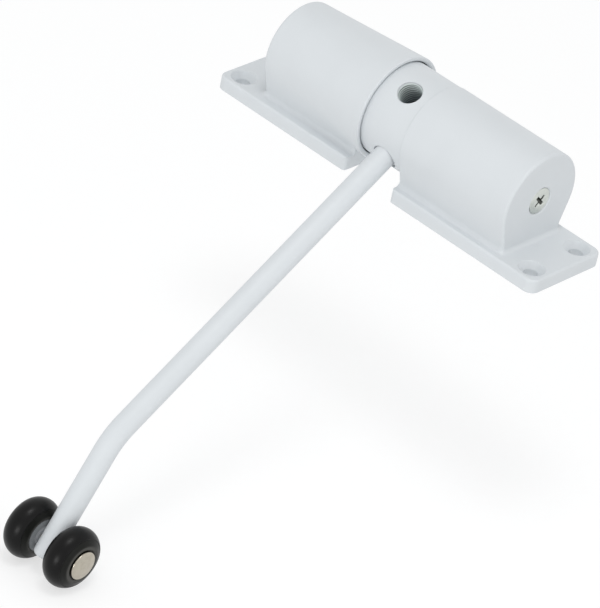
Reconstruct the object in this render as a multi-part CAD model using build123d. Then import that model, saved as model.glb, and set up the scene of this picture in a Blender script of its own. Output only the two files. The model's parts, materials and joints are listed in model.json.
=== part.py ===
from build123d import *
from math import cos, pi, radians, sin, sqrt, tan
import os

# Spring door closer, in millimetres.
# X runs along the drum's axis, -Y is the side that the arm comes out of, +Z leaves the mounting face.
# The origin is the middle of the mounting face, so the plates' undersides lie at z = 0.

# Mounting plates: each reaches past the end of its barrel
plate_end_reach = 17.0
plate_width = 35.0
plate_thickness = 4.9
plate_corner_radius = 3.5
plate_notch_corner_radius = 1.4
plate_edge_radius = 0.9
left_plate_inner_x = -11.9
right_plate_inner_x = 8.9

# Mounting screw holes, countersunk for 5 mm wood screws
mount_hole_end_distance = 6.3
mount_hole_side_distance = 6.2
mount_hole_radius = 2.5
mount_countersink_radius = 4.6
mount_countersink_ease = 0.3

# Barrels
axis_height = 20.7
barrel_span = 110.6
left_barrel_end_radius = 16.2
left_rim_wall = 1.75
left_rim_x = -8.7
right_barrel_radius = 17.35
left_barrel_edge_radius = 1.5
right_barrel_edge_radius = 1.0
end_wall_thickness = 3.9
barrel_bore_radius = 12.6
left_cup_depth = 4.8
left_cup_lip_radius = 0.8
left_rim_edge_radius = 0.5

# Neck between each barrel and its plate: its sides run on from the barrel, leaning in by these angles
left_neck_outer_lean = 17.0
left_neck_inner_lean = 38.0
right_neck_lean = 16.5
neck_fillet = 1.6
neck_fillet_share = 0.9
neck_foot_sink = 0.4

# Keyway in each bore, on the neck side
keyway_width = 4.0
keyway_depth = 1.5

# Drum
drum_radius = 17.1
drum_cup_clearance = 0.35
drum_cup_gap = 0.4
drum_rim_gap = 0.1
drum_edge_radius = 0.3
journal_radius = 9.6
journal_fit = 0.05
spigot_radius = 6.6
spigot_flat = 5.4
arm_x = 1.2
open_hole_angle = 121.1
hole_spacing_angle = 90.0
thread_hole_radius = 4.35
thread_hole_mouth_radius = 4.5
thread_hole_floor = 6.0
arm_hole_relief_radius = 4.72
arm_hole_relief_depth = 1.6

# Shaft, bushes, washers, collars and anchors
shaft_radius = 4.0
shaft_fit = 0.05
thrust_washer_thickness = 1.2
thrust_washer_play = 0.1
thrust_washer_clearance = 0.2
bush_length = 5.0
journal_end_play = 0.3
collar_thickness = 3.0
collar_radius = 12.2
collar_fit = 0.03
anchor_thickness = 5.0
anchor_fit = 0.05
key_fit = 0.1

# Torsion springs
spring_wire_diameter = 2.6
spring_mean_radius = 10.0
spring_coil_gap = 0.5
spring_tang_depth = 2.4
spring_tang_fit = 0.15
spring_face_gap = 0.1

# End screws
end_screw_radius = 2.5
end_screw_length = 13.0
end_screw_head_radius = 4.75
end_screw_head_recess = 0.25
end_hole_radius = 2.75
end_countersink_radius = 5.3
cross_slot_width = 1.05
cross_slot_length = 4.6
cross_slot_depth = 1.7
tapped_hole_depth = 14.0
tapped_fit = 0.02

# Arm
arm_radius = 4.0
arm_thread_fit = 0.02
arm_thread_start = 6.6
arm_thread_rise = 0.5
arm_root_rise = 0.25
arm_root_lean = 2.15
arm_root_offset = 0.58
arm_straight_length = 130.6
arm_outer_length = 39.73
arm_bend_angle = 25.55
arm_bend_radius = 26.0
arm_tip_length = 5.9
arm_tip_radius = 1.8
axle_seat_radius = 3.75
axle_seat_half_width = 3.35

# Rollers and their axle
roller_offset = 9.25
roller_radius = 10.8
roller_crown_radius = 5.25
tread_width = 7.8
tyre_thickness = 2.6
hub_width = 10.1
hub_shoulder_step = 0.1
hub_lip_radius = 6.8
hub_lip_edge_radius = 0.2
hub_head_gap = 0.45
hub_washer_gap = 0.15
hub_recess_depth = 0.5
roller_edge_radius = 0.06
axle_radius = 2.5
axle_hole_fit = 0.03
roller_bore_fit = 0.08
washer_gap = 0.05
washer_flange_radius = 5.9
washer_flange_thickness = 0.45
washer_neck_radius = 3.6
head_radius = 5.1
head_edge_radius = 0.3
head_edge_height = 1.05
head_dome_radius = 28.0
head_seat_gap = 0.08

left_cup_radius = drum_radius + drum_cup_clearance
left_barrel_rim_radius = left_cup_radius + left_rim_wall
half_barrel_span = barrel_span / 2
half_span = half_barrel_span + plate_end_reach
arm_hole_angle = open_hole_angle + hole_spacing_angle


def cylinder_x(x0, x1, radius, y=0.0, z=axis_height):
    """Solid cylinder along X between two stations."""
    low = min(x0, x1)
    length = abs(x1 - x0)
    plane = Plane(origin=(low, y, z), x_dir=(0, 1, 0), z_dir=(1, 0, 0))
    return plane * Cylinder(radius, length, align=(Align.CENTER, Align.CENTER, Align.MIN))


def cone_x(x0, r0, x1, r1, y=0.0, z=axis_height):
    """Solid cone along X, with radius r0 at x0 and r1 at x1."""
    profile = Polyline((x0, 0, 0), (x1, 0, 0), (x1, 0, r1), (x0, 0, r0), close=True)
    solid = revolve(make_face(profile), Axis.X, 360)
    return Pos(0, y, z) * solid


def ring_x(x0, x1, inner, outer, y=0.0, z=axis_height):
    """Flat ring along X."""
    hole = cylinder_x(min(x0, x1) - 1, max(x0, x1) + 1, inner, y, z)
    return cylinder_x(x0, x1, outer, y, z) - hole


def radial_plane(angle, x=arm_x):
    """Plane whose Z leaves the drum's axis at an angle from +Y towards +Z."""
    direction = (0, cos(radians(angle)), sin(radians(angle)))
    return Plane(origin=(x, 0, axis_height), x_dir=(1, 0, 0), z_dir=direction)


def edges_at(solid, x, radius):
    """Circular edges of a turned solid at one station and radius."""
    found = []
    for edge in solid.edges().filter_by(GeomType.CIRCLE):
        if abs(edge.arc_center.X - x) < 0.01 and abs(edge.radius - radius) < 0.01:
            found.append(edge)
    return found


def end_hole_cut(side):
    """Clearance hole and countersink for the screw in a barrel's end wall."""
    face = side * half_barrel_span
    wall = side * (half_barrel_span - end_wall_thickness)
    hole = cylinder_x(wall - side, face + side, end_hole_radius)
    depth = end_countersink_radius - end_hole_radius
    sink = cone_x(face - side * depth, end_hole_radius, face, end_countersink_radius)
    return hole + sink


def keyway_cut(x0, x1):
    """Groove along the floor of a barrel's bore."""
    height = barrel_bore_radius + keyway_depth
    block = Box(abs(x1 - x0), keyway_width, height, align=(Align.MIN, Align.CENTER, Align.MAX))
    return Pos(min(x0, x1), 0, axis_height) * block


def top_edges(solid, wanted):
    """Edges in the plate's top face that pass a test."""
    found = []
    for edge in solid.edges():
        ends = (edge @ 0, edge @ 0.5, edge @ 1)
        if all(abs(point.Z - plate_thickness) < 0.01 for point in ends) and wanted(edge):
            found.append(edge)
    return found


def notch_corner_cut():
    """Corner of a square block that lies outside its rounding, for the rounding that runs to +X and +Y."""
    square = Box(2 * plate_notch_corner_radius, 2 * plate_notch_corner_radius, 3 * plate_thickness)
    disc = Cylinder(plate_notch_corner_radius, 4 * plate_thickness)
    return Pos(plate_notch_corner_radius, plate_notch_corner_radius, 0) * (
        Pos(-plate_notch_corner_radius, -plate_notch_corner_radius, 0) * square - disc)


def mounting_plate(side, inner_x):
    """One flange plate: corners rounded in plan, and the top eased along its sides and outer end."""
    outer_x = side * half_span
    length = abs(outer_x - inner_x)
    block = Pos((outer_x + inner_x) / 2, 0, 0) * Box(
        length, plate_width, plate_thickness, align=(Align.CENTER, Align.CENTER, Align.MIN))
    upright = block.edges().filter_by(Axis.Z)
    block = fillet(upright.filter_by(lambda e: abs(e.center().X - outer_x) < 0.01), plate_corner_radius)
    outline = top_edges(block, lambda e: abs(e.center().X - inner_x) > 0.01)
    block = fillet(outline, plate_edge_radius)
    for y_side in (-1, 1):
        turn = {(1, -1): 0, (-1, -1): 90, (-1, 1): 180, (1, 1): 270}[(side, y_side)]
        block -= Pos(inner_x, y_side * plate_width / 2, 0) * Rot(0, 0, turn) * notch_corner_cut()
    return block


def mounting_hole_cut(side, y_side):
    """Screw hole with its countersink."""
    depth = mount_countersink_radius - mount_hole_radius
    sink = Cone(mount_hole_radius, mount_countersink_radius + 1, depth + 1,
                align=(Align.CENTER, Align.CENTER, Align.MIN))
    hole = Cylinder(mount_hole_radius, 3 * plate_thickness) + Pos(0, 0, plate_thickness - depth) * sink
    x = side * (half_span - mount_hole_end_distance)
    y = y_side * (plate_width / 2 - mount_hole_side_distance)
    return Pos(x, y, 0) * hole


def is_countersink_rim(edge):
    """True for the round edge of a countersink."""
    return edge.geom_type == GeomType.CIRCLE and abs(edge.radius - mount_countersink_radius) < 0.01


def barrel_section(x, radius, lean):
    """Section of barrel and neck: an arc over the top, then straight sides down into the plate."""
    angle = radians(lean)
    low = plate_thickness - neck_foot_sink
    side_y = radius * cos(angle)
    side_z = axis_height - radius * sin(angle)
    foot_y = side_y - (side_z - low) * tan(angle)
    return make_face([
        ThreePointArc((x, -side_y, side_z), (x, 0, axis_height + radius), (x, side_y, side_z)),
        Line((x, side_y, side_z), (x, foot_y, low)),
        Line((x, foot_y, low), (x, -foot_y, low)),
        Line((x, -foot_y, low), (x, -side_y, side_z)),
    ])


def outer_end_edges(solid, end_x):
    """Edges of the outer end face above the plate."""
    found = []
    for edge in solid.edges():
        ends = (edge @ 0, edge @ 0.5, edge @ 1)
        if all(abs(point.X - end_x) < 0.01 for point in ends) and (edge @ 0.5).Z > plate_thickness:
            found.append(edge)
    return found


def is_neck_foot(edge, inner_x):
    """True for an edge where the neck meets the plate's top."""
    point = edge @ 0.5
    between = abs(inner_x) + 0.01 < abs(point.X) < half_barrel_span + 0.01
    return between and abs(point.Y) < plate_width / 2 - max(plate_edge_radius, plate_notch_corner_radius) - 0.01


def foot_radius(radius, lean):
    """Fillet at the neck's foot, kept clear of the barrel above it and of the plate's eased edge."""
    angle = radians(lean)
    height = axis_height - radius * sin(angle) - plate_thickness
    half_width = radius * cos(angle) - height * tan(angle)
    flat = plate_width / 2 - plate_edge_radius - half_width
    room = min(flat, height / cos(angle))
    return min(neck_fillet, neck_fillet_share * room * tan((pi / 2 - angle) / 2))


def left_radius_at(x):
    """Radius of the tapered left barrel at one station."""
    share = (x + half_barrel_span) / (left_rim_x + half_barrel_span)
    return left_barrel_end_radius + share * (left_barrel_rim_radius - left_barrel_end_radius)


def housing(side, inner_x, barrel, edge_radius, neck_radius):
    """One casting: mounting plate with its neck and the barrel above it, before its bore is cut."""
    barrel = fillet(outer_end_edges(barrel, side * half_barrel_span), edge_radius)
    body = mounting_plate(side, inner_x) + barrel
    foot = top_edges(body, lambda e: is_neck_foot(e, inner_x))
    body = fillet(foot, neck_radius)
    for y_side in (-1, 1):
        body -= mounting_hole_cut(side, y_side)
    return fillet(top_edges(body, is_countersink_rim), mount_countersink_ease)


def cut_bore(body, side, mouth_x):
    """Bore from the drum side, with its keyway and the end screw's hole."""
    floor_x = side * (half_barrel_span - end_wall_thickness)
    body -= cylinder_x(mouth_x - side, floor_x, barrel_bore_radius)
    body -= keyway_cut(mouth_x - side, floor_x)
    return body - end_hole_cut(side)


left_drum_face = left_rim_x - left_cup_depth + drum_cup_gap
right_drum_face = right_plate_inner_x - drum_rim_gap
drum_face = {-1: left_drum_face, 1: right_drum_face}
journal_length = thrust_washer_thickness + thrust_washer_play + bush_length + journal_end_play
wall_x = half_barrel_span - end_wall_thickness


def journal_end(side):
    return drum_face[side] + side * journal_length


def collar_end(side):
    return journal_end(side) + side * collar_thickness


def make_left_housing():
    """Tapered barrel whose rim reaches past its plate and is hollowed to take the drum."""
    plate_end_radius = left_radius_at(left_plate_inner_x)
    barrel = loft([
        barrel_section(-half_barrel_span, left_barrel_end_radius, left_neck_outer_lean),
        barrel_section(left_plate_inner_x, plate_end_radius, left_neck_inner_lean),
    ], ruled=True)
    neck_radius = foot_radius(plate_end_radius, left_neck_inner_lean)
    body = housing(-1, left_plate_inner_x, barrel, left_barrel_edge_radius, neck_radius)
    body += cone_x(left_plate_inner_x, plate_end_radius, left_rim_x, left_barrel_rim_radius)
    body = cut_bore(body, -1, left_rim_x)
    body -= cylinder_x(left_rim_x - left_cup_depth, left_rim_x + 1, left_cup_radius)
    body = fillet(edges_at(body, left_rim_x, left_barrel_rim_radius), left_rim_edge_radius)
    return fillet(edges_at(body, left_rim_x, left_cup_radius), left_cup_lip_radius)


def make_right_housing():
    """Straight barrel that ends level with its plate beside the drum."""
    section = barrel_section(right_plate_inner_x, right_barrel_radius, right_neck_lean)
    barrel = extrude(section, half_barrel_span - right_plate_inner_x, dir=(1, 0, 0))
    neck_radius = foot_radius(right_barrel_radius, right_neck_lean)
    body = housing(1, right_plate_inner_x, barrel, right_barrel_edge_radius, neck_radius)
    return cut_bore(body, 1, right_plate_inner_x)


def double_flat_rod(x0, x1, radius, flat):
    """Round spigot with a flat on two sides."""
    rod = cylinder_x(x0, x1, radius)
    slab = Pos((x0 + x1) / 2, 0, axis_height) * Box(abs(x1 - x0), 2 * flat, 2 * radius)
    return rod & slab


def threaded_hole_cut(angle):
    """Blind radial hole with a coned mouth."""
    mouth_depth = thread_hole_mouth_radius - thread_hole_radius
    hole = Pos(0, 0, thread_hole_floor) * Cylinder(
        thread_hole_radius, drum_radius, align=(Align.CENTER, Align.CENTER, Align.MIN))
    mouth = Pos(0, 0, drum_radius - mouth_depth) * Cone(
        thread_hole_radius, thread_hole_mouth_radius + 1, mouth_depth + 1,
        align=(Align.CENTER, Align.CENTER, Align.MIN))
    return radial_plane(angle) * (hole + mouth)


def arm_hole_relief_cut():
    """Wider mouth of the arm's hole, where the plain bar passes."""
    relief = Pos(0, 0, drum_radius - arm_hole_relief_depth) * Cylinder(
        arm_hole_relief_radius, 2 * arm_hole_relief_depth, align=(Align.CENTER, Align.CENTER, Align.MIN))
    return radial_plane(arm_hole_angle) * relief


def make_drum():
    body = cylinder_x(left_drum_face, right_drum_face, drum_radius)
    body = fillet(body.edges().filter_by(GeomType.CIRCLE), drum_edge_radius)
    for side in (-1, 1):
        body += cylinder_x(drum_face[side], journal_end(side), journal_radius)
        body += double_flat_rod(journal_end(side), collar_end(side), spigot_radius, spigot_flat)
    body -= cylinder_x(collar_end(-1) - 1, collar_end(1) + 1, shaft_radius + shaft_fit)
    body -= threaded_hole_cut(arm_hole_angle)
    body -= arm_hole_relief_cut()
    return body - threaded_hole_cut(open_hole_angle)


def make_thrust_washer(side):
    start = drum_face[side]
    inner = journal_radius + thrust_washer_clearance
    outer = barrel_bore_radius - thrust_washer_clearance
    return ring_x(start, start + side * thrust_washer_thickness, inner, outer)


def make_bush(side):
    start = drum_face[side] + side * (thrust_washer_thickness + thrust_washer_play)
    return ring_x(start, start + side * bush_length, journal_radius + journal_fit, barrel_bore_radius)


def spring_start(side):
    return collar_end(side) + side * spring_face_gap


def spring_stop(side):
    return side * (wall_x - anchor_thickness - spring_face_gap)


def spring_turns(side):
    """Whole half turns that fit between collar and anchor, and the pitch that fills the space."""
    room = abs(spring_stop(side) - spring_start(side)) - 2 * spring_wire_diameter
    half_turns = int(2 * room / (spring_wire_diameter + spring_coil_gap))
    pitch = 2 * room / half_turns
    return half_turns, pitch


def helix_point(side, half_turn, half_turns):
    room = abs(spring_stop(side) - spring_start(side)) - 2 * spring_wire_diameter
    angle = pi * half_turn
    x = spring_start(side) + side * (spring_wire_diameter + room * half_turn / half_turns)
    return Vector(x, spring_mean_radius * cos(angle), axis_height + spring_mean_radius * sin(angle))


def helix_tangent(side, half_turn, half_turns):
    room = abs(spring_stop(side) - spring_start(side)) - 2 * spring_wire_diameter
    climb = side * room / half_turns / pi
    angle = pi * half_turn
    return Vector(climb, -spring_mean_radius * sin(angle), spring_mean_radius * cos(angle)).normalized()


def biarc(start, start_dir, end, end_dir):
    """Two arcs that join smoothly between two points with given directions."""
    chord = end - start
    both = start_dir + end_dir
    spread = 2 * (1 - start_dir.dot(end_dir))
    reach = (-chord.dot(both) + sqrt(chord.dot(both) ** 2 + spread * chord.dot(chord))) / spread
    joint = (start + start_dir * reach + end - end_dir * reach) * 0.5
    joint_dir = (end - end_dir * reach - start - start_dir * reach).normalized()
    first = TangentArc(start, joint, tangent=start_dir)
    second = TangentArc(joint, end, tangent=joint_dir)
    return [first, second]


def make_spring(side):
    """Round wire coil with a straight tang along X at each end, as one unbroken tube."""
    half_turns, pitch = spring_turns(side)
    bend = spring_wire_diameter
    path = []
    quarter = 0.5
    steps = [i * quarter for i in range(int(half_turns / quarter) + 1)]
    points = [helix_point(side, s, half_turns) for s in steps]
    tangents = [helix_tangent(side, s, half_turns) for s in steps]
    along = Vector(side, 0, 0)
    first_dir = tangents[0]
    inner_corner = points[0] - first_dir * bend
    inner_end = inner_corner - along * bend
    path.append(Line(inner_end - along * spring_tang_depth, inner_end))
    path += biarc(inner_end, along, points[0], first_dir)
    for i in range(len(steps) - 1):
        path += biarc(points[i], tangents[i], points[i + 1], tangents[i + 1])
    last_dir = tangents[-1]
    outer_end = points[-1] + last_dir * bend + along * bend
    path += biarc(points[-1], last_dir, outer_end, along)
    path.append(Line(outer_end, outer_end + along * spring_tang_depth))
    wire = Wire(path)
    start = wire @ 0
    section = Plane(origin=start, z_dir=wire % 0) * Circle(spring_wire_diameter / 2)
    tang_places = (inner_end, outer_end)
    print(f"spring {side}: {half_turns / 2} turns, least gap {pitch - spring_wire_diameter:.2f} mm")
    return sweep(section, path=wire), tang_places


left_spring, left_tangs = make_spring(-1)
right_spring, right_tangs = make_spring(1)
tangs = {-1: left_tangs, 1: right_tangs}


def tang_hole(place, x0, x1):
    return cylinder_x(x0, x1, spring_wire_diameter / 2 + spring_tang_fit, place.Y, place.Z)


def make_collar(side):
    """Spring collar keyed on the drum's spigot."""
    body = cylinder_x(journal_end(side), collar_end(side), collar_radius)
    body -= double_flat_rod(journal_end(side) - side, collar_end(side) + side,
                            spigot_radius + collar_fit, spigot_flat + collar_fit)
    return body - tang_hole(tangs[side][0], journal_end(side) - side, collar_end(side) + side)


def make_anchor(side):
    """Spring anchor keyed in the bore against the end wall."""
    inner = side * (wall_x - anchor_thickness)
    outer = side * wall_x
    body = cylinder_x(inner, outer, barrel_bore_radius - anchor_fit)
    key_height = barrel_bore_radius + keyway_depth - key_fit
    key = Box(anchor_thickness, keyway_width - 2 * key_fit, key_height,
              align=(Align.CENTER, Align.CENTER, Align.MAX))
    body += Pos((inner + outer) / 2, 0, axis_height) * key
    body -= cylinder_x(inner - side, outer + side, shaft_radius + tapped_fit)
    return body - tang_hole(tangs[side][1], inner - side, outer + side)


def make_shaft():
    body = cylinder_x(-wall_x, wall_x, shaft_radius)
    for side in (-1, 1):
        tip = side * (wall_x - tapped_hole_depth)
        body -= cylinder_x(tip, side * (wall_x + 1), end_screw_radius + tapped_fit)
    return body


def make_end_screw(side):
    """Countersunk screw with a cross recess."""
    face = side * (half_barrel_span - end_screw_head_recess)
    depth = end_screw_head_radius - end_screw_radius
    body = cone_x(face - side * depth, end_screw_radius, face, end_screw_head_radius)
    body += cylinder_x(face - side * end_screw_length, face - side * depth, end_screw_radius)
    slot = Box(2 * cross_slot_depth, cross_slot_length, cross_slot_width)
    cross = slot + Rot(90, 0, 0) * slot
    return body - Pos(face, 0, axis_height) * Rot(45, 0, 0) * cross


def arm_direction(turn):
    angle = radians(arm_hole_angle + turn)
    return Vector(0, cos(angle), sin(angle))


hole_dir = arm_direction(0)
across_dir = arm_direction(-90)
root_dir = arm_direction(arm_root_lean)
outer_dir = arm_direction(arm_root_lean + arm_bend_angle)
axis_centre = Vector(arm_x, 0, axis_height)
root_point = axis_centre + hole_dir * drum_radius + across_dir * arm_root_offset
bend_corner = root_point + root_dir * arm_straight_length
axle_centre = bend_corner + outer_dir * arm_outer_length
bend_setback = arm_bend_radius * tan(radians(arm_bend_angle) / 2)


def rod_piece(start, direction, length, radius):
    plane = Plane(origin=start, x_dir=(1, 0, 0), z_dir=direction)
    return plane * Cylinder(radius, length, align=(Align.CENTER, Align.CENTER, Align.MIN))


def make_arm():
    """Bent bar: threaded root in the drum, rounded tip, and a turned seat for the axle on each flank."""
    thread_start = axis_centre + hole_dir * arm_thread_start
    thread_length = drum_radius - arm_hole_relief_depth + arm_thread_rise - arm_thread_start
    thread = rod_piece(thread_start, hole_dir, thread_length, thread_hole_radius - arm_thread_fit)
    start = root_point - root_dir * (arm_hole_relief_depth - arm_root_rise)
    bend_start = bend_corner - root_dir * bend_setback
    bend_end = bend_corner + outer_dir * bend_setback
    tip = axle_centre + outer_dir * arm_tip_length
    path = Wire([
        Line(start, bend_start),
        TangentArc(bend_start, bend_end, tangent=root_dir),
        Line(bend_end, tip),
    ])
    section = Plane(origin=start, x_dir=(1, 0, 0), z_dir=root_dir) * Circle(arm_radius)
    bar = sweep(section, path=path)
    tip_edges = [e for e in bar.edges().filter_by(GeomType.CIRCLE) if (e.arc_center - tip).length < 0.01]
    body = fillet(tip_edges, arm_tip_radius)
    reach = 2 * arm_radius
    bore = axle_radius + axle_hole_fit
    body -= cylinder_x(arm_x - reach, arm_x + reach, bore, axle_centre.Y, axle_centre.Z)
    for side in (-1, 1):
        face = arm_x + side * axle_seat_half_width
        body -= cylinder_x(face, arm_x + side * reach, axle_seat_radius, axle_centre.Y, axle_centre.Z)
    return body + thread


def turned_about_axle(points, x_centre):
    """Revolve a closed profile of (offset along X, radius) points about the roller axle."""
    profile = make_face(Polyline([(x_centre + u, 0, r) for u, r in points], close=True))
    return Pos(0, axle_centre.Y, axle_centre.Z) * revolve(profile, Axis.X, 360)


def roller_centre_x(side):
    return arm_x + side * roller_offset


def tread_edge_radius():
    """Radius at which the crowned tread ends."""
    half = tread_width / 2
    return roller_radius - roller_crown_radius + sqrt(roller_crown_radius ** 2 - half ** 2)


def make_tyre(side):
    """Crowned black tread ring."""
    half = tread_width / 2
    edge = tread_edge_radius()
    inner = edge - tyre_thickness
    x0 = roller_centre_x(side)
    profile = make_face([
        Line((x0 - half, 0, inner), (x0 + half, 0, inner)),
        Line((x0 + half, 0, inner), (x0 + half, 0, edge)),
        ThreePointArc((x0 + half, 0, edge), (x0, 0, roller_radius), (x0 - half, 0, edge)),
        Line((x0 - half, 0, edge), (x0 - half, 0, inner)),
    ])
    body = revolve(profile, Axis.X, 360)
    edges = [e for e in body.edges().filter_by(GeomType.CIRCLE) if abs(e.radius - edge) < 0.01]
    body = fillet(edges, roller_edge_radius)
    return Pos(0, axle_centre.Y, axle_centre.Z) * body


def make_hub(side):
    """Hub that holds the tread between two coned flanges, each with a lip round a flat recess."""
    tread_half = tread_width / 2
    half = hub_width / 2
    bore = axle_radius + roller_bore_fit
    seat = tread_edge_radius() - tyre_thickness
    shoulder = tread_edge_radius() - hub_shoulder_step
    recess = half - hub_recess_depth
    lips = {side: head_radius + hub_head_gap, -side: washer_flange_radius + hub_washer_gap}
    flange = {}
    for way, lip in lips.items():
        flange[way] = [
            (way * tread_half, seat), (way * tread_half, shoulder), (way * half, hub_lip_radius),
            (way * half, lip), (way * recess, lip), (way * recess, bore),
        ]
    body = turned_about_axle(flange[1] + flange[-1][::-1], roller_centre_x(side))
    circles = body.edges().filter_by(GeomType.CIRCLE)
    body = fillet([e for e in circles if abs(e.radius - shoulder) < 0.01], roller_edge_radius)
    lip_edges = []
    for edge in body.edges().filter_by(GeomType.CIRCLE):
        on_face = abs(abs(edge.arc_center.X - roller_centre_x(side)) - half) < 0.01
        if on_face and edge.radius < hub_lip_radius + 0.01:
            lip_edges.append(edge)
    narrowest = hub_lip_radius - max(lips.values())
    return fillet(lip_edges, min(hub_lip_edge_radius, 0.4 * narrowest))


def recess_x(side, way):
    """Station of a hub's recess floor: way is 1 on the outer face and -1 on the face by the arm."""
    return roller_centre_x(side) + way * side * (hub_width / 2 - hub_recess_depth)


def make_roller_washer(side):
    """Flanged spacer between the arm's seat and the hub's inner recess."""
    start = arm_x + side * axle_seat_half_width
    end = recess_x(side, -1) - side * washer_gap
    bore = axle_radius + axle_hole_fit
    neck = ring_x(start, end, bore, washer_neck_radius, axle_centre.Y, axle_centre.Z)
    return neck + ring_x(end - side * washer_flange_thickness, end, bore, washer_flange_radius,
                         axle_centre.Y, axle_centre.Z)


def head_disc(side):
    """Rivet head: a disc with a low domed face and an eased edge."""
    start = recess_x(side, 1) + side * head_seat_gap
    rim = start + side * head_edge_height
    dome_centre = rim - side * sqrt(head_dome_radius ** 2 - head_radius ** 2)
    apex = dome_centre + side * head_dome_radius
    disc = cylinder_x(start, apex, head_radius, axle_centre.Y, axle_centre.Z)
    disc &= Pos(dome_centre, axle_centre.Y, axle_centre.Z) * Rot(0, 90, 0) * Sphere(head_dome_radius)
    return fillet(edges_at(disc, rim, head_radius), head_edge_radius)


def make_axle():
    """Axle with its own head on the outer side of the right roller."""
    stop = recess_x(-1, 1) - head_seat_gap
    start = recess_x(1, 1) + head_seat_gap
    return head_disc(1) + cylinder_x(stop, start, axle_radius, axle_centre.Y, axle_centre.Z)


nodes = {
    "left_housing": make_left_housing(),
    "right_housing": make_right_housing(),
    "drum": make_drum(),
    "center_shaft": make_shaft(),
    "arm_rod": make_arm(),
    "roller_axle": make_axle(),
    "axle_end_cap": head_disc(-1),
    "left_spring": left_spring,
    "right_spring": right_spring,
}
for side, name in ((-1, "left"), (1, "right")):
    nodes[f"{name}_thrust_washer"] = make_thrust_washer(side)
    nodes[f"{name}_bush"] = make_bush(side)
    nodes[f"{name}_spring_collar"] = make_collar(side)
    nodes[f"{name}_spring_anchor"] = make_anchor(side)
    nodes[f"{name}_end_screw"] = make_end_screw(side)
    nodes[f"{name}_roller_tyre"] = make_tyre(side)
    nodes[f"{name}_roller_hub"] = make_hub(side)
    nodes[f"{name}_roller_washer"] = make_roller_washer(side)

os.makedirs("parts", exist_ok=True)
for name, shape in nodes.items():
    export_step(shape, f"parts/{name}.step")
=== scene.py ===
import json
from math import cos, radians, sin, tau

import bmesh
import bpy
from mathutils import Matrix, Vector


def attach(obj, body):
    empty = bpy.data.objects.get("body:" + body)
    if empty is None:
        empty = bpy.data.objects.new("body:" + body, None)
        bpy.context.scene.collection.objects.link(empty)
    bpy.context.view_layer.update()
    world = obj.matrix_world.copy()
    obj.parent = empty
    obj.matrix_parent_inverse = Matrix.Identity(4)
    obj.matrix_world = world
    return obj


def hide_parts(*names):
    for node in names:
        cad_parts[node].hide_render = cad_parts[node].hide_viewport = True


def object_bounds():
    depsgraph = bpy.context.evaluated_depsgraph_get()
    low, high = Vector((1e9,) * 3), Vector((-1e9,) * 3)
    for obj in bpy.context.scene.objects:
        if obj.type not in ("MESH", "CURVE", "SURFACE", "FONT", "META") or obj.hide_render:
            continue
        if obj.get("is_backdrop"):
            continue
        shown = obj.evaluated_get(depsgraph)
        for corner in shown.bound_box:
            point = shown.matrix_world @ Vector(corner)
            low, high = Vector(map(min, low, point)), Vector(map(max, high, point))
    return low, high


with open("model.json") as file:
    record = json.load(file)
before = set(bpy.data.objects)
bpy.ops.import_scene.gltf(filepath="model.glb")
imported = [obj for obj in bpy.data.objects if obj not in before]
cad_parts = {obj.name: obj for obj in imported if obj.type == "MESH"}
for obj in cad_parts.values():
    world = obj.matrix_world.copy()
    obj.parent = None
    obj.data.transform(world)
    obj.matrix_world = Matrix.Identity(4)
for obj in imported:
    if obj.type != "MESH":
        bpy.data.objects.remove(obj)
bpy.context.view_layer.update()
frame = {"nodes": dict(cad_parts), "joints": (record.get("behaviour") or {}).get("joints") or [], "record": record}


def entry_named(entries, name):
    """The joint or mount of a name, from the record."""
    return next(entry for entry in entries if entry["name"] == name)


def reach_along_x(name):
    """Lowest and highest X of one solid."""
    node = frame["nodes"][name]
    stations = [(node.matrix_world @ vertex.co).x for vertex in node.data.vertices]
    return min(stations), max(stations)


def shade(r, g, b):
    """Opaque colour."""
    return (r, g, b, 1.0)


# Metres in the CAD frame: X along the drum's axis, -Y the arm's side, +Z out of the mounting face
MM = 0.001

# A point on the drum's axis, which runs along X, and the middle of the rollers' axle
DRUM_AXIS = Vector(entry_named(frame["joints"], "arm_swing")["pos_m"])
AXLE = Vector(entry_named(frame["joints"], "left_roller_spin")["pos_m"])

# The drum's two threaded holes meet on its axis, a quarter turn apart: the open one and the arm's
OPEN_HOLE = entry_named(frame["record"]["mounts"], "tensioning_hole")
OPEN_HOLE_WAY = Vector(OPEN_HOLE["axis"])
ARM_HOLE_WAY = Vector((0, -OPEN_HOLE_WAY.z, OPEN_HOLE_WAY.y))
HOLES_MEET = Vector((OPEN_HOLE["pos_m"][0], DRUM_AXIS.y, DRUM_AXIS.z))
HOLE_RADIUS = OPEN_HOLE["dims"]["r_mm"] * MM
HOLE_FLOOR = 6.0 * MM
HOLE_RIM = 16.5 * MM

# Depths below a hole's rim where the coat is still whole, where it is gone, and where painted shade darkens all,
# and how uneven the edge of the painted shade is
COAT_WHOLE = 0.6 * MM
COAT_GONE = 1.4 * MM
SHADE_DEEP = 7.0 * MM
SHADE_UNEVEN = 1.5 * MM

# How far beyond a hole's wall and below its floor bare metal is still whole, and where it is gone
BARE_ROUND = (0.03 * MM, 0.08 * MM)
BARE_BELOW = (1.0 * MM, 2.0 * MM)

# The open hole's thread, and the station from which its groove turns to the coat's colour
THREAD_PITCH = 1.0 * MM
THREAD_DEPTH = 0.48 * MM
THREAD_WIDTH = 0.92 * THREAD_PITCH
THREAD_START = HOLE_FLOOR + 0.6 * MM
THREAD_STOP = HOLE_RIM + 0.2 * MM
GROOVE_PALES = HOLE_RIM - 0.9 * MM

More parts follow.
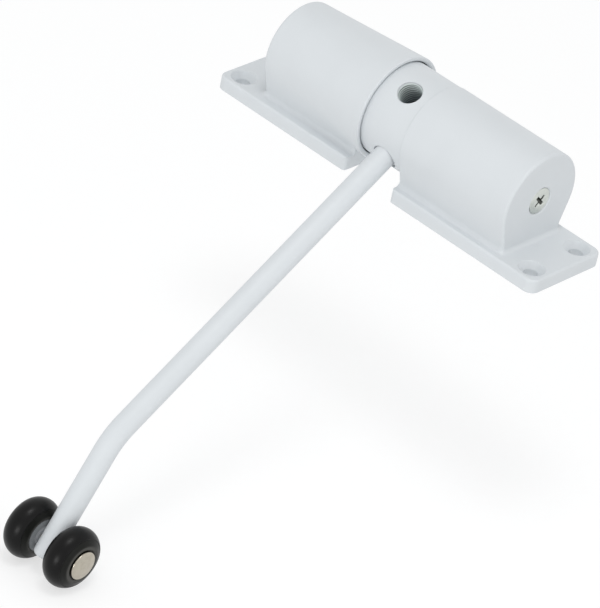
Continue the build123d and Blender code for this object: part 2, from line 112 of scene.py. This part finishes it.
# Any thread ridge: steps in a turn, turns over which it grows and fades, its least height as a share of the
# full one, its flat top as a share of its foot, and how far the foot is sunk in the metal
RIDGE_STEPS = 48
RIDGE_GROWS = 1 / 3
RIDGE_FADES = 0.7
RIDGE_LEAST = 0.02
RIDGE_TOP = 0.18
RIDGE_SINK = 0.05 * MM

# The screws in the barrels' end faces: head, countersink, shank and thread
SCREW_TIP, SCREW_FACE = reach_along_x("right_end_screw")
SCREW_LENGTH = SCREW_FACE - SCREW_TIP
SCREW_HEAD_RADIUS = 4.75 * MM
SCREW_CROWN = 0.12 * MM
SCREW_EDGE = 0.18 * MM
SCREW_SHANK_RADIUS = 2.5 * MM
SCREW_CORE_RADIUS = 2.1 * MM
SCREW_CONE = SCREW_HEAD_RADIUS - SCREW_SHANK_RADIUS
SCREW_NECK = 1.5 * MM
SCREW_BEVEL = 0.6 * MM
SCREW_PITCH = 0.8 * MM
SCREW_THREAD_WIDTH = 0.9 * SCREW_PITCH
SCREW_THREAD_START = SCREW_TIP + SCREW_BEVEL + 0.1 * MM
SCREW_THREAD_STOP = SCREW_FACE - SCREW_CONE - SCREW_NECK

# Their cross recess: how far its arms reach, their half width and depth at the middle, the rounding of the
# upper edge, the shares of width and depth that an arm loses by its end, and the turn of the cross
RECESS_REACH = 2.5 * MM
RECESS_HALF_WIDTH = 0.74 * MM
RECESS_DEPTH = 2.6 * MM
RECESS_EASE = 0.13 * MM
RECESS_NARROWS = 0.22
RECESS_RISES = 0.72
RECESS_TURN = radians(45)

# Painted shade in the recess: depths below the head's edge over which it thickens, and radii over which it ends
RECESS_SHADE_SUNK = (0.05 * MM, 0.55 * MM)
RECESS_SHADE_ROUND = (RECESS_REACH + 0.1 * MM, RECESS_REACH + 0.4 * MM)

# Rings of points on the head: fine ones over the recess, coarse ones outside it, and steps round the edge
HEAD_AROUND = 240
FACE_RINGS = [k * 0.07 * MM for k in range(40)] + [k * 0.22 * MM for k in range(13, 21)]
EDGE_STEPS = 4

# A paler ring on a roller's hub lip round the rivet's head, a painted highlight: the radii over which it begins
# and ends
LIP_BEGINS = (5.3 * MM, 5.7 * MM)
LIP_ENDS = (6.5 * MM, 7.2 * MM)

# The powder coat, and the same where it is dull
COAT_WHITE = shade(0.700, 0.730, 0.752)
COAT_DULL = shade(0.680, 0.710, 0.732)
COAT_ROUGHNESS = 0.40

# The photograph's view: heading and dip of the line of sight and roll of the camera, in radians, where the
# CAD origin lies from the camera, counted to its right, down and ahead, and the lens
VIEW_HEADING = -0.64955
VIEW_DIP = 0.57579
VIEW_ROLL = 0.21330
VIEW_ORIGIN = Vector((34.741, -43.281, 1519.106)) * MM
FOCAL_PIXELS = 4580.8
IMAGE_WIDTH = 600
SENSOR = 36.0

# The studio: the floor's reach, its colours, its glow for the camera, and the world's even fill
FLOOR_REACH = 3.0
FLOOR_PALE = shade(0.93, 0.93, 0.93)
FLOOR_SHOWN = shade(0.42, 0.42, 0.42)
FLOOR_GLOW = 0.625
WHITE = shade(1, 1, 1)
FILL_COLOUR = shade(0.985, 0.995, 1.0)
FILL_STRENGTH = 0.735

# Places of the Mix node's colour sockets, which share their names with others
MIX_FIRST = 6
MIX_SECOND = 7
MIX_RESULT = 2


class Value:
    """A shader socket that adds Math nodes as it is used in an expression."""

    def __init__(self, tree, socket):
        self.tree = tree
        self.socket = socket

    def _math(self, operation, *terms):
        node = self.tree.nodes.new("ShaderNodeMath")
        node.operation = operation
        for place, term in zip(node.inputs, terms):
            if isinstance(term, Value):
                self.tree.links.new(term.socket, place)
            else:
                place.default_value = term
        return Value(self.tree, node.outputs[0])

    def __add__(self, other):
        return self._math("ADD", self, other)

    def __radd__(self, other):
        return self._math("ADD", other, self)

    def __sub__(self, other):
        return self._math("SUBTRACT", self, other)

    def __rsub__(self, other):
        return self._math("SUBTRACT", other, self)

    def __mul__(self, other):
        return self._math("MULTIPLY", self, other)

    def __rmul__(self, other):
        return self._math("MULTIPLY", other, self)


class Nodes:
    """A node tree, emptied, and the methods that add nodes to it."""

    def __init__(self, tree):
        self.tree = tree
        tree.nodes.clear()

    def node(self, kind, settings=None, inputs=None):
        """Adds a node: settings first, then the values or links of its sockets."""
        node = self.tree.nodes.new("ShaderNode" + kind)
        for key, value in (settings or {}).items():
            setattr(node, key, value)
        for key, value in (inputs or {}).items():
            if isinstance(value, Value):
                value = value.socket
            if isinstance(value, bpy.types.NodeSocket):
                self.tree.links.new(value, node.inputs[key])
            else:
                node.inputs[key].default_value = value
        return node

    def value(self, node, output=0):
        """One output of a node, for use in an expression."""
        return Value(self.tree, node.outputs[output])

    def place(self):
        """Position on the piece, in metres, as it stands at rest."""
        return self.node("TexCoord").outputs["Object"]

    def vector_math(self, operation, *inputs):
        """One Vector Math node."""
        return self.node("VectorMath", {"operation": operation}, dict(enumerate(inputs)))

    def vector(self, operation, *inputs):
        """The vector that a Vector Math node gives."""
        return self.vector_math(operation, *inputs).outputs["Vector"]

    def measure(self, operation, *inputs):
        """The number that a Vector Math node gives, such as a length."""
        return self.value(self.vector_math(operation, *inputs), "Value")

    def distance(self, start, axes):
        """Distance from a point, counted over the axes that are marked 1."""
        away = self.vector("SUBTRACT", self.place(), start)
        return self.measure("LENGTH", self.vector("MULTIPLY", away, axes))

    def from_hole(self, way):
        """Distance out along a hole from where the two meet, and distance off the hole's own line."""
        away = self.vector("SUBTRACT", self.place(), HOLES_MEET)
        along = self.measure("DOT_PRODUCT", away, way)
        foot = self.node("VectorMath", {"operation": "SCALE"}, {0: way, "Scale": along}).outputs["Vector"]
        return along, self.measure("LENGTH", self.vector("SUBTRACT", away, foot))

    def noise(self, size_mm, detail=2.0, roughness=0.5):
        """Noise from 0 to 1 whose features are about size_mm across."""
        node = self.node("TexNoise", inputs={"Vector": self.place(), "Scale": 1000 / size_mm,
                                             "Detail": detail, "Roughness": roughness})
        return self.value(node, "Fac")

    def clouds(self, size_mm):
        """Noise with plenty of finer noise in it, as wear and plating have."""
        return self.noise(size_mm, detail=4.0, roughness=0.6)

    def ramp(self, factor, low, high):
        """0 up to low and 1 from high on."""
        limits = {"Value": factor, "From Min": low, "From Max": high}
        return self.value(self.node("MapRange", {"clamp": True}, limits))

    def between(self, factor, first, second):
        """Colour between two colours, each a tuple or a colour socket."""
        inputs = {"Factor": factor, MIX_FIRST: first, MIX_SECOND: second}
        return self.node("Mix", {"data_type": "RGBA"}, inputs).outputs[MIX_RESULT]

    def bump(self, height, depth_mm, strength):
        """Normal that follows a fine relief."""
        relief = {"Height": height, "Distance": depth_mm * MM, "Strength": strength}
        return self.node("Bump", inputs=relief).outputs["Normal"]

    def grain(self, size_mm, depth_mm, strength):
        """Normal of an even grain."""
        return self.bump(self.noise(size_mm), depth_mm, strength)


class Finish(Nodes):
    """A material that is painted by its nodes."""

    def __init__(self, name):
        self.material = bpy.data.materials.new(name)
        self.material.use_nodes = True
        super().__init__(self.material.node_tree)

    def skin(self, **sockets):
        """Ends the material in one principled surface; spaces in a socket's name are underscores here."""
        surface = self.node("BsdfPrincipled", inputs={k.replace("_", " "): v for k, v in sockets.items()})
        self.node("OutputMaterial", inputs={"Surface": surface.outputs[0]})
        return self.material


def bare_wall(finish, way):
    """Distance out along a hole, and 1 where its wall and floor are bare metal."""
    along, off = finish.from_hole(way)
    under_coat = finish.ramp(HOLE_RIM - along, COAT_WHOLE, COAT_GONE)
    beyond_wall = finish.ramp(off - HOLE_RADIUS, *BARE_ROUND)
    below_floor = finish.ramp(HOLE_FLOOR - along, *BARE_BELOW)
    return along, under_coat * (1 - beyond_wall) * (1 - below_floor)


def cut_metal_and_shade_colour(finish, along, pale=0.55, deep=0.030):
    """Cut metal in a hole: pale greenish grey at the mouth, darkened by painted shade towards the floor."""
    depth = HOLE_RIM - along - finish.noise(1.4, detail=3.0) * SHADE_UNEVEN
    painted_shade = finish.ramp(depth, 0, SHADE_DEEP)
    clean = shade(0.90 * pale, pale, 0.98 * pale)
    shaded_colour = shade(0.80 * deep, deep, 1.08 * deep)
    return finish.between(painted_shade, clean, shaded_colour)


def powder_coat(name, hole_ways=()):
    """White powder coat: orange-peel skin, faint clouds, a few specks, and bare metal down its holes."""
    finish = Finish(name)
    clouds = finish.noise(14.0, detail=3.0)
    specks = finish.ramp(finish.noise(0.5, detail=0.0), 0.78, 0.84)
    colour = finish.between(finish.ramp(clouds, 0.3, 0.7) * 0.8 + specks * 0.2, COAT_WHITE, COAT_DULL)
    bare = 0.0
    for way in hole_ways:
        along, wall = bare_wall(finish, way)
        # Bare metal down the hole, darkened towards the floor by painted shade
        colour = finish.between(wall, colour, cut_metal_and_shade_colour(finish, along))
        bare = bare + wall
    peel = finish.noise(0.9) * 0.8 + finish.noise(0.22, detail=1.0) * 0.2
    return finish.skin(Base_Color=colour, Metallic=bare * 0.7, Roughness=COAT_ROUGHNESS + clouds * 0.12,
                       Specular_IOR_Level=0.4, Normal=finish.bump(peel, depth_mm=0.03, strength=0.35))


def cut_thread():
    """The open hole's thread: pale crests, grooves darkened by painted shade and coat-coloured at the mouth, all
    darker below with painted shade.
    """
    finish = Finish("cut_thread_metal")
    along, off = finish.from_hole(OPEN_HOLE_WAY)
    groove = finish.ramp(off, HOLE_RADIUS - 0.75 * THREAD_DEPTH, HOLE_RADIUS - 0.25 * THREAD_DEPTH)
    mouth = finish.ramp(along, GROOVE_PALES, THREAD_STOP)
    crest_colour = cut_metal_and_shade_colour(finish, along, pale=0.68, deep=0.27)
    # The grooves are painted darker than the crests: painted shade
    groove_shaded_colour = cut_metal_and_shade_colour(finish, along, pale=0.15, deep=0.025)
    colour = finish.between(groove, crest_colour, finish.between(mouth, groove_shaded_colour, COAT_DULL))
    return finish.skin(Base_Color=colour, Metallic=0.2, Roughness=0.34 + finish.noise(0.6) * 0.15,
                       Normal=finish.grain(0.2, depth_mm=0.006, strength=0.3))


def tread_black():
    """The treads' moulded black: glossy, with a fine grain and slightly paler rubbed patches."""
    finish = Finish("roller_tread_black")
    rubs = finish.clouds(3.5)
    plain = shade(0.0003, 0.0003, 0.0004)
    rubbed = shade(0.0012, 0.0012, 0.0012)
    colour = finish.between(finish.ramp(rubs, 0.35, 0.75), plain, rubbed)
    return finish.skin(Base_Color=colour, Roughness=0.30 + rubs * 0.06, Specular_IOR_Level=0.20,
                       Normal=finish.grain(0.30, depth_mm=0.010, strength=0.3))


def hub_black():
    """The hubs' moulded black, with a paler ring on the lip round the rivet's head that is a painted highlight."""
    finish = Finish("roller_hub_black")
    radius = finish.distance(AXLE, axes=(0, 1, 1))
    # Painted highlight: a paler ring on the lip round the rivet's head, patchy with the rubs
    lip_highlight = finish.ramp(radius, *LIP_BEGINS) * (1 - finish.ramp(radius, *LIP_ENDS))
    rubs = finish.clouds(2.2)
    plain = shade(0.0060, 0.0066, 0.0054)
    lip_highlight_colour = shade(0.060, 0.059, 0.054)
    colour = finish.between(lip_highlight * (0.6 + rubs * 0.5), plain, lip_highlight_colour)
    return finish.skin(Base_Color=colour, Roughness=0.30 + rubs * 0.14, Specular_IOR_Level=0.16,
                       Normal=finish.grain(0.22, depth_mm=0.010, strength=0.3))


def plated_metal(name, bright, clouded, roughness):
    """Plated or ground steel with fine polishing marks and slight clouding."""
    finish = Finish(name)
    clouds = finish.clouds(2.4)
    tint = finish.between(finish.ramp(clouds, 0.3, 0.75), shade(*bright), shade(*clouded))
    return finish.skin(Base_Color=tint, Metallic=1.0, Roughness=roughness + clouds * 0.12,
                       Normal=finish.grain(0.25, depth_mm=0.006, strength=0.25))


def screw_zinc():
    """Bright zinc plate on the end screws, darkened by painted shade down in the cross recess."""
    finish = Finish("bright_zinc_screw")
    across = finish.distance(DRUM_AXIS, axes=(0, 1, 1))
    sunk = SCREW_FACE - finish.distance(DRUM_AXIS, axes=(1, 0, 0))
    # Painted shade down in the cross recess: dark and less metallic
    recess_shade = finish.ramp(sunk, *RECESS_SHADE_SUNK) * (1 - finish.ramp(across, *RECESS_SHADE_ROUND))
    clouds = finish.clouds(1.8)
    bright = shade(0.66, 0.69, 0.655)
    clouded = shade(0.54, 0.57, 0.54)
    plate = finish.between(finish.ramp(clouds, 0.3, 0.75), bright, clouded)
    colour = finish.between(recess_shade, plate, shade(0.050, 0.055, 0.045))
    return finish.skin(Base_Color=colour, Metallic=1 - recess_shade * 0.8, Roughness=0.24 + clouds * 0.12,
                       Normal=finish.grain(0.2, depth_mm=0.006, strength=0.25))


def washer_plastic(name, light, dark, roughness):
    """Moulded washer: satin, with a fine grain."""
    finish = Finish(name)
    clouds = finish.noise(4.0, detail=3.0)
    tint = finish.between(clouds, shade(*light), shade(*dark))
    return finish.skin(Base_Color=tint, Roughness=roughness + clouds * 0.1,
                       Normal=finish.grain(0.3, depth_mm=0.01, strength=0.3))


def oil_bronze():
    """Sintered bronze: porous and slightly mottled."""
    finish = Finish("sintered_bronze")
    pores = finish.noise(0.35)
    mottle = finish.noise(3.0, detail=3.0)
    tint = finish.between(mottle, shade(0.42, 0.27, 0.13), shade(0.27, 0.17, 0.08))
    return finish.skin(Base_Color=tint, Metallic=1.0, Roughness=0.45 + pores * 0.15,
                       Normal=finish.bump(pores, depth_mm=0.02, strength=0.5))


def pair(name):
    """The left and the right node of a kind."""
    return ["left_" + name, "right_" + name]


def dress_solids():
    """Gives every solid its finish."""
    zinc = plated_metal("bright_zinc", (0.56, 0.57, 0.54), (0.42, 0.44, 0.41), roughness=0.24)
    nickel = plated_metal("bright_nickel", (0.49, 0.452, 0.382), (0.41, 0.378, 0.315), roughness=0.12)
    ground_steel = plated_metal("ground_steel", (0.50, 0.50, 0.51), (0.40, 0.40, 0.41), roughness=0.24)
    wire = plated_metal("oiled_spring_wire", (0.16, 0.16, 0.17), (0.09, 0.09, 0.10), roughness=0.32)
    nylon = washer_plastic("natural_nylon", (0.68, 0.66, 0.60), (0.62, 0.60, 0.54), roughness=0.42)
    grey = washer_plastic("grey_washer", (0.25, 0.26, 0.27), (0.20, 0.21, 0.22), roughness=0.38)
    finishes = (
        (powder_coat("white_powder_coat"), pair("housing")),
        (powder_coat("white_powder_coat_drum", (OPEN_HOLE_WAY, ARM_HOLE_WAY)), ["drum"]),
        (powder_coat("white_powder_coat_rod"), ["arm_rod"]),
        (ground_steel, ["center_shaft"]),
        (oil_bronze(), pair("bush")),
        (nylon, pair("thrust_washer")),
        (zinc, pair("spring_collar") + pair("spring_anchor") + pair("end_screw")),
        (wire, pair("spring")),
        (nickel, ["roller_axle", "axle_end_cap"]),
        (grey, pair("roller_washer")),
        (tread_black(), pair("roller_tyre")),
        (hub_black(), pair("roller_hub")),
    )
    for material, names in finishes:
        for name in names:
            slots = frame["nodes"][name].data.materials
            slots.clear()
            slots.append(material)


def added(name, data):
    """A new object in the scene."""
    item = bpy.data.objects.new(name, data)
    bpy.context.scene.collection.objects.link(item)
    return item


def new_piece(name, surface, material, body, smooth=True):
    """Adds one mesh piece, with its faces turned outward, that rides on a body."""
    verts, faces = surface
    mesh = bpy.data.meshes.new(name)
    mesh.from_pydata(verts, [], faces)
    mesh.materials.append(material)
    for face in mesh.polygons:
        face.use_smooth = smooth
    work = bmesh.new()
    work.from_mesh(mesh)
    bmesh.ops.recalc_face_normals(work, faces=work.faces)
    work.to_mesh(mesh)
    work.free()
    piece = added(name, mesh)
    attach(piece, body)
    return piece


def joined(*surfaces):
    """Points and faces of several surfaces as one."""
    verts, faces = [], []
    for more_verts, more_faces in surfaces:
        faces += [tuple(len(verts) + k for k in face) for face in more_faces]
        verts += more_verts
    return verts, faces


def turned_surface(rings):
    """Closed surface over rings of points, from the first ring's middle point to the last ring."""
    around = len(rings[1])
    verts = [rings[0][0]] + [point for ring in rings[1:] for point in ring]
    faces = [(0, 1 + k, 1 + (k + 1) % around) for k in range(around)]
    for i in range(len(rings) - 2):
        a, b = 1 + i * around, 1 + (i + 1) * around
        faces += [(a + k, b + k, b + (k + 1) % around, a + (k + 1) % around) for k in range(around)]
    last = 1 + (len(rings) - 2) * around
    faces.append(tuple(last + k for k in range(around)))
    return verts, faces


def thread_ridge(origin, way, start, stop, pitch, width, root, crest):
    """Surface of one ridge that winds about a line from start to stop and tapers off at both ends."""
    axis = Vector(way).normalized()
    aside = Vector((1, 0, 0)) if abs(axis.x) < 0.5 else Vector((0, 1, 0))
    across = (aside - axis * aside.dot(axis)).normalized()
    other = axis.cross(across)
    steps = round((stop - start) / pitch * RIDGE_STEPS)
    verts, faces = [], []
    for i in range(steps + 1):
        turn = tau * i / RIDGE_STEPS
        out = across * cos(turn) + other * sin(turn)
        middle = origin + axis * (start + pitch * i / RIDGE_STEPS)
        grown = min(1, i / (RIDGE_GROWS * RIDGE_STEPS), (steps - i) / (RIDGE_FADES * RIDGE_STEPS))
        tip = root + (crest - root) * max(grown, RIDGE_LEAST)
        for radius, share in ((root, -1), (tip, -RIDGE_TOP), (tip, RIDGE_TOP), (root, 1)):
            verts.append(middle + out * radius + axis * share * width / 2)
    for i in range(steps):
        a, b = 4 * i, 4 * i + 4
        faces += [(a + k, a + (k + 1) % 4, b + (k + 1) % 4, b + k) for k in range(4)]
    faces += [(3, 2, 1, 0), tuple(4 * steps + k for k in range(4))]
    return verts, faces


def open_hole_thread():
    """The thread in the drum's open hole."""
    ridge = thread_ridge(HOLES_MEET, OPEN_HOLE_WAY, THREAD_START, THREAD_STOP, THREAD_PITCH, THREAD_WIDTH,
                         root=HOLE_RADIUS + RIDGE_SINK, crest=HOLE_RADIUS - THREAD_DEPTH)
    new_piece("open_hole_thread", ridge, cut_thread(), "drum_and_arm", smooth=False)


def smooth_step(value):
    """0 up to 0 and 1 from 1 on, with a soft start and end."""
    value = min(1, max(0, value))
    return value * value * (3 - 2 * value)


def recess_depth(u, v):
    """Depth of the cross recess at one place on a screw's face, u and v along its two arms."""
    deepest = 0
    for along, across in ((abs(u), abs(v)), (abs(v), abs(u))):
        half_width = RECESS_HALF_WIDTH * (1 - RECESS_NARROWS * along / RECESS_REACH)
        room = min(half_width - across, RECESS_REACH - along)
        floor = RECESS_DEPTH * (1 - RECESS_RISES * along / RECESS_REACH)
        deepest = max(deepest, floor * smooth_step(room / RECESS_EASE))
    return deepest


def face_height(radius, turn):
    """Height of a screw's crowned and recessed face over the head's edge."""
    crown = SCREW_CROWN * (1 - (radius / SCREW_HEAD_RADIUS) ** 2)
    return crown - recess_depth(radius * cos(turn - RECESS_TURN), radius * sin(turn - RECESS_TURN))


def screw_profile():
    """Radii and heights from the head's rounded edge down the countersink and the shank to the tip."""
    profile = []
    for k in range(EDGE_STEPS + 1):
        bend = tau / 4 * k / EDGE_STEPS
        profile.append((SCREW_HEAD_RADIUS - SCREW_EDGE * (1 - sin(bend)), -SCREW_EDGE * (1 - cos(bend))))
    profile += [
        (SCREW_SHANK_RADIUS, -SCREW_CONE - SCREW_EDGE),
        (SCREW_CORE_RADIUS, -SCREW_CONE - SCREW_NECK),
        (SCREW_CORE_RADIUS, SCREW_BEVEL - SCREW_LENGTH),
        (SCREW_CORE_RADIUS - SCREW_BEVEL, -SCREW_LENGTH),
    ]
    return profile


def end_screw(side, name, material):
    """Countersunk screw in a barrel's end face: crowned head, cross recess, threaded shank."""
    turns = [tau * k / HEAD_AROUND for k in range(HEAD_AROUND)]

    def ring(radius, heights):
        """Points round the screw's line, each at its height over the head's edge."""
        return [DRUM_AXIS + Vector((side * (SCREW_FACE + height), radius * cos(turn), radius * sin(turn)))
                for turn, height in zip(turns, heights)]

    rings = [ring(radius, [face_height(radius, turn) for turn in turns]) for radius in FACE_RINGS]
    rings += [ring(radius, [height] * HEAD_AROUND) for radius, height in screw_profile()]
    thread = thread_ridge(DRUM_AXIS, (side, 0, 0), SCREW_THREAD_START, SCREW_THREAD_STOP,
                          SCREW_PITCH, SCREW_THREAD_WIDTH,
                          root=SCREW_CORE_RADIUS - RIDGE_SINK, crest=SCREW_SHANK_RADIUS)
    piece = new_piece(name + "_cross_recess", joined(turned_surface(rings), thread), material,
                      "frame_mounted_body")
    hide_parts(name)


def photograph_camera():
    """Camera at the photograph's viewpoint."""
    ahead = Vector((sin(VIEW_HEADING), cos(VIEW_HEADING), 0))
    forward = cos(VIEW_DIP) * ahead - sin(VIEW_DIP) * Vector((0, 0, 1))
    level = Vector((ahead.y, -ahead.x, 0))
    upright = level.cross(forward)
    right = cos(VIEW_ROLL) * level + sin(VIEW_ROLL) * upright
    up = cos(VIEW_ROLL) * upright - sin(VIEW_ROLL) * level
    spot = up * VIEW_ORIGIN.y - right * VIEW_ORIGIN.x - forward * VIEW_ORIGIN.z
    data = bpy.data.cameras.new("photo_camera")
    data.sensor_fit = "HORIZONTAL"
    data.sensor_width = SENSOR
    data.lens = FOCAL_PIXELS * SENSOR / IMAGE_WIDTH
    data.clip_start = 0.05
    data.clip_end = 50
    camera = added("photo_camera", data)
    camera.matrix_world = Matrix.Translation(spot) @ Matrix((right, up, -forward)).transposed().to_4x4()
    bpy.context.scene.camera = camera


def by_ray(nodes, lighting, shown):
    """Mixes two shaders: what lights the part, and what the camera sees straight, mirrored or through."""
    path = nodes.node("LightPath")
    total = nodes.value(path, "Is Camera Ray") + nodes.value(path, "Is Glossy Ray")
    seen = nodes.ramp(total + nodes.value(path, "Is Transmission Ray"), 0, 1)
    return nodes.node("MixShader", inputs={0: seen, 1: lighting.outputs[0], 2: shown.outputs[0]}).outputs[0]


def floor_finish():
    """Pale floor that shows white and keeps the shadow."""
    finish = Finish("pale_floor")
    pale = finish.node("BsdfDiffuse", inputs={"Color": FLOOR_PALE})
    grey = finish.node("BsdfDiffuse", inputs={"Color": FLOOR_SHOWN})
    glow = finish.node("Emission", inputs={"Color": WHITE, "Strength": FLOOR_GLOW})
    shown = finish.node("AddShader", inputs={0: grey.outputs[0], 1: glow.outputs[0]})
    finish.node("OutputMaterial", inputs={"Surface": by_ray(finish, pale, shown)})
    return finish.material


def pale_floor():
    """Level floor under the rollers."""
    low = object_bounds()[0].z
    corners = [(x * FLOOR_REACH, y * FLOOR_REACH, low) for x, y in ((-1, -1), (1, -1), (1, 1), (-1, 1))]
    mesh = bpy.data.meshes.new("floor")
    mesh.from_pydata(corners, [], [(0, 1, 2, 3)])
    mesh.materials.append(floor_finish())
    added("floor", mesh)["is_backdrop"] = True


def soft_world():
    """White surroundings for the camera and for reflections, with an even soft fill."""
    world = bpy.data.worlds.new("studio")
    bpy.context.scene.world = world
    world.use_nodes = True
    studio = Nodes(world.node_tree)
    fill = studio.node("Background", inputs={"Color": FILL_COLOUR, "Strength": FILL_STRENGTH})
    white = studio.node("Background", inputs={"Color": WHITE, "Strength": 1.0})
    studio.node("OutputWorld", inputs={"Surface": by_ray(studio, fill, white)})


def softbox(name, direction, distance, size, power):
    """Square area lamp that faces the rollers from a direction."""
    data = bpy.data.lights.new(name, "AREA")
    data.shape = "SQUARE"
    data.size = size
    data.energy = power
    lamp = added(name, data)
    way = Vector(direction).normalized()
    lamp.location = AXLE + way * distance
    lamp.rotation_mode = "QUATERNION"
    lamp.rotation_quaternion = (-way).to_track_quat("-Z", "Y")


dress_solids()
open_hole_thread()
screw_plate = screw_zinc()
for screw_side, screw_name in zip((-1, 1), pair("end_screw")):
    end_screw(screw_side, screw_name, screw_plate)

bpy.context.scene.view_settings.view_transform = "Standard"
photograph_camera()
pale_floor()
soft_world()
softbox("overhead_softbox", direction=(0.13, -0.12, 0.98), distance=1.15, size=0.30, power=2.30)
softbox("front_softbox", direction=(0.22, -0.97, 0.03), distance=1.15, size=0.40, power=4.00)
softbox("right_softbox", direction=(0.95, -0.05, 0.28), distance=1.30, size=0.60, power=1.15)
